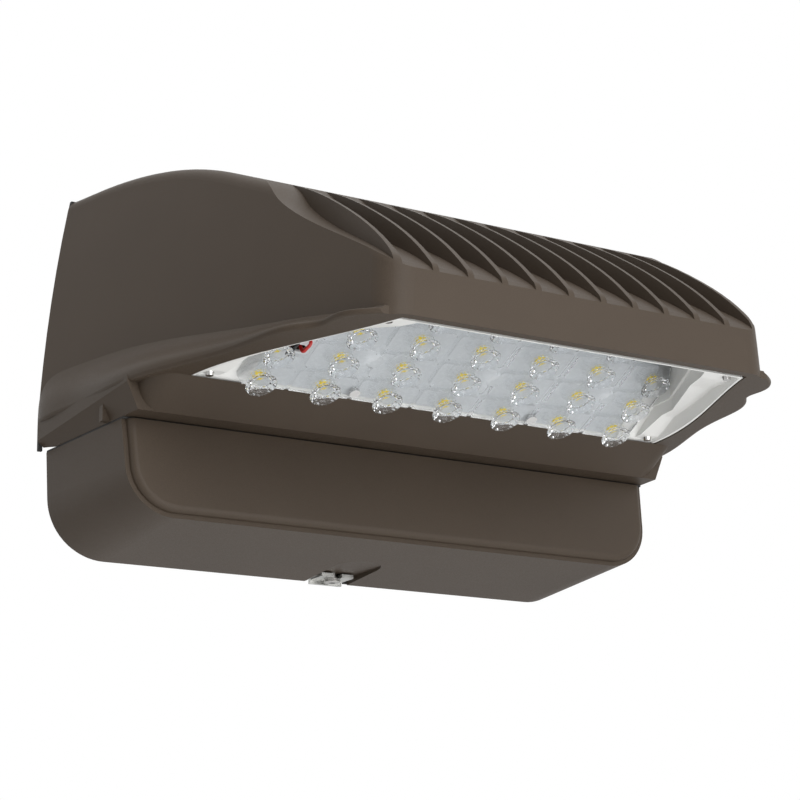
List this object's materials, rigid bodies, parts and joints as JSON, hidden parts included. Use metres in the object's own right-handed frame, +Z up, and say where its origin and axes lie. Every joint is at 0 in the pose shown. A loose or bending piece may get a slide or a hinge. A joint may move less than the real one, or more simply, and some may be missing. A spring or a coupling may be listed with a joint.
{
  "type": "wall pack light",
  "caption": "Wall-mounted area light: a finned, flared cast head with a downward light opening over a shallow cast box, hinged on a wall plate.",
  "frame": {"origin": "centre of the wall plate's back face, which is also the centre of its four wall screws and of its cable hole", "axes": "+Z up, +Y into the wall, -Y out of the wall towards the fascia, +X to the right of someone who faces the light"},
  "size_m": [0.3458, 0.25, 0.198],
  "materials": {
    "bronze_casting": "fine-textured dark bronze powder coat on die-cast aluminium",
    "plated_steel": "zinc-plated sheet",
    "black_rubber": "moulded rubber",
    "pin_steel": "ground steel",
    "screw_steel": "plated screw",
    "gasket": "closed-cell foam",
    "tray_white": "satin pale grey-white",
    "tray_screw": "bright plated",
    "board_white": "white solder mask",
    "led_yellow": "yellow phosphor",
    "clear_optic": "clear moulded acrylic",
    "driver_case": "smooth moulded case",
    "surge_case": "potted black case",
    "terminal_plastic": "moulded nylon",
    "black_wire": "wire insulation",
    "white_wire": "wire insulation",
    "red_wire": "wire insulation",
    "green_wire": "wire insulation",
    "green_screw": "green-coloured ground screw"
  },
  "bodies": {
    "plate": {"wall_plate": "plated_steel", "cable_grommet": "black_rubber"},
    "fixture": {"upper_housing": "bronze_casting", "lower_box": "bronze_casting", "hinge_pins": "pin_steel", "seam_gasket": "gasket", "wall_gasket": "gasket", "light_tray": "tray_white", "tray_screws": "tray_screw", "led_board": "board_white", "led_chips": "led_yellow", "optic_plate": "clear_optic", "optic_screws": "tray_screw", "driver": "driver_case", "driver_bracket": "plated_steel", "bracket_screws": "screw_steel", "surge_protector": "surge_case", "terminal_block": "terminal_plastic", "line_lead": "black_wire", "neutral_lead": "white_wire", "surge_leads": "black_wire", "ground_lead": "green_wire", "ground_screw": "green_screw", "red_lead": "red_wire", "black_lead": "black_wire", "case_screws": "screw_steel"},
    "lock": {"lock_screw": "screw_steel"}
  },
  "joints": [
    {"name": "fixture_hinge", "type": "hinge", "parent": "plate", "child": "fixture", "pos_m": [0, -0.018, 0.088], "axis": [-1, 0, 0], "range_deg": [0, 20]},
    {"name": "lock_screw_slide", "type": "slide", "parent": "fixture", "child": "lock", "axis": [0, 0, -1], "range_m": [0, 0.008]}
  ]
}
